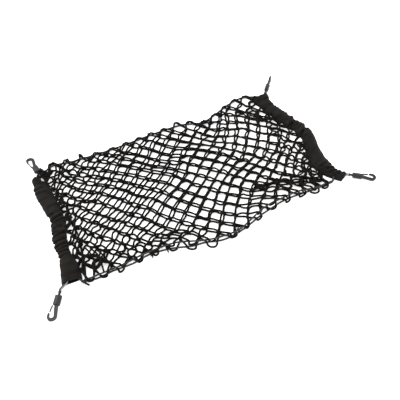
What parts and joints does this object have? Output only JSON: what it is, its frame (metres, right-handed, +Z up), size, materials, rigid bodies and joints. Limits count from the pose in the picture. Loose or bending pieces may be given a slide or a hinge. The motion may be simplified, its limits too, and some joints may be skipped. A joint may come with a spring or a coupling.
{
  "type": "cargo net",
  "caption": "Flat pouch of black diamond mesh between two ruched end sleeves, drawn on elastic cords, with a plastic snap hook at each corner.",
  "frame": {"origin": "on the surface that the net lies on, under the middle of its bounding box", "axes": "+X along the net, from the left sleeve to the right sleeve; +Y across it, from the open near edge to the folded far edge; +Z up from the surface"},
  "size_m": [0.704, 0.3832, 0.0176],
  "materials": {
    "mesh": "matt black knitted cord",
    "sleeve": "matt black woven cloth, ruched",
    "edge_elastic": "braided elastic, dark grey with a faint sheen",
    "end_elastic": "braided elastic, dark grey with a pale stripe",
    "hook": "satin dark grey moulded plastic"
  },
  "bodies": {
    "net": {"cord_end_left": "end_elastic", "cord_end_right": "end_elastic", "cord_fold": "edge_elastic", "cord_mouth_lower": "edge_elastic", "cord_mouth_upper": "edge_elastic", "hook_far_left": "hook", "hook_far_right": "hook", "hook_near_left": "hook", "hook_near_right": "hook", "knot_near_left": "edge_elastic", "net_lower": "mesh", "net_upper": "mesh", "sleeve_left": "sleeve", "sleeve_right": "sleeve"},
    "gate_near_left": {"gate_near_left": "hook"},
    "gate_near_right": {"gate_near_right": "hook"},
    "gate_far_left": {"gate_far_left": "hook"},
    "gate_far_right": {"gate_far_right": "hook"}
  },
  "joints": [
    {"name": "snap_near_left", "type": "hinge", "parent": "net", "child": "gate_near_left", "pos_m": [-0.33567, -0.16458, 0.0049], "axis": [-0.0491, -0.072, 0.9962], "range_deg": [0, 18], "stiffness_Nm_per_rad": 0.02},
    {"name": "snap_near_right", "type": "hinge", "parent": "net", "child": "gate_near_right", "pos_m": [0.32924, -0.1643, 0.0049], "axis": [-0.072, 0.0491, -0.9962], "range_deg": [0, 18], "stiffness_Nm_per_rad": 0.02},
    {"name": "snap_far_left", "type": "hinge", "parent": "net", "child": "gate_far_left", "pos_m": [-0.27218, 0.16312, 0.0049], "axis": [0.0052, -0.087, -0.9962], "range_deg": [0, 18], "stiffness_Nm_per_rad": 0.02},
    {"name": "snap_far_right", "type": "hinge", "parent": "net", "child": "gate_far_right", "pos_m": [0.29561, 0.15649, 0.00361], "axis": [0.7239, -0.6899, 0], "range_deg": [0, 18], "stiffness_Nm_per_rad": 0.02}
  ]
}
